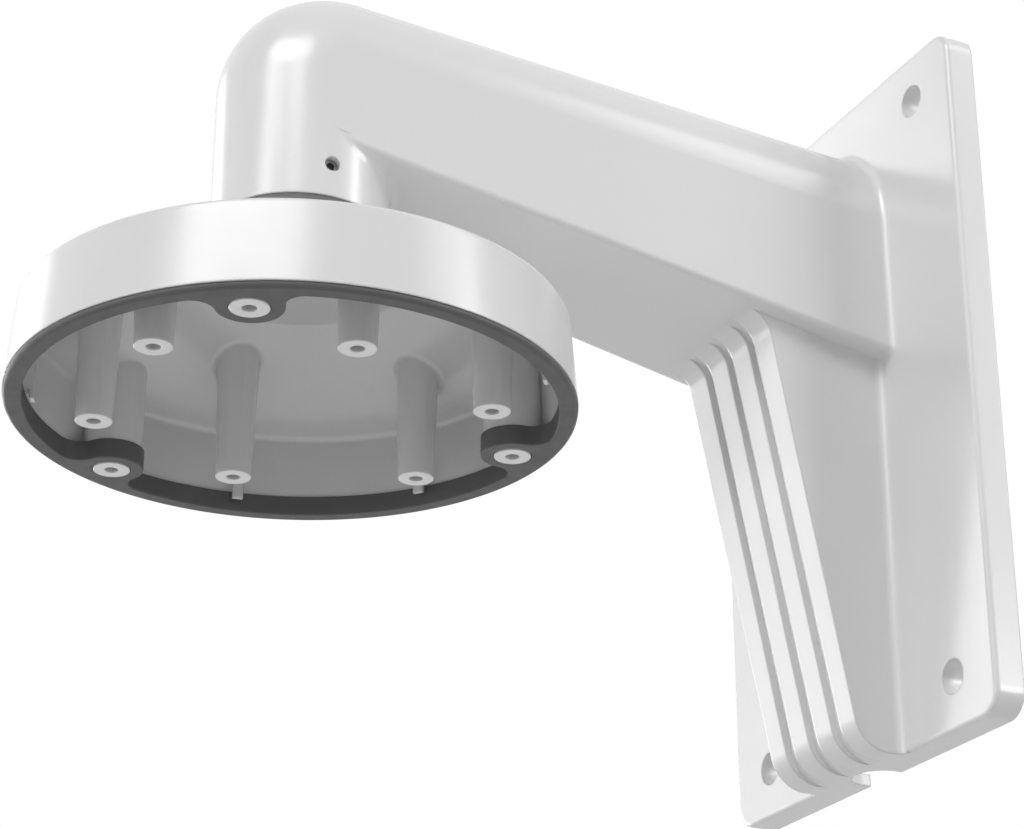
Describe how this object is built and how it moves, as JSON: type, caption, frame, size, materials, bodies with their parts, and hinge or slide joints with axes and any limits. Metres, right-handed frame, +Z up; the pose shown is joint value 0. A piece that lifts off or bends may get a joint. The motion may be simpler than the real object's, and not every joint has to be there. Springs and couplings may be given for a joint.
{
  "type": "camera wall bracket",
  "caption": "White cast wall bracket with a hollow elbow arm, grooved gusset, wall plate and a round screw-on cap with bosses and gasket for a dome camera.",
  "frame": {"origin": "centre of the four wall holes, on the wall's plane", "axes": "+X to the right for someone who faces the wall, +Y into the wall, +Z up; the arm reaches out along -Y and the cap opens down"},
  "size_m": [0.14, 0.2361, 0.19],
  "materials": {
    "white_paint": "white semi-gloss powder coat on die-cast aluminium",
    "dark_rubber": "matt dark grey rubber",
    "screw_steel": "dark steel"
  },
  "bodies": {
    "root": {"wall_arm": "white_paint", "mount_cap": "white_paint", "cap_gasket": "dark_rubber", "neck_seal": "dark_rubber", "set_screw": "screw_steel"}
  },
  "joints": []
}
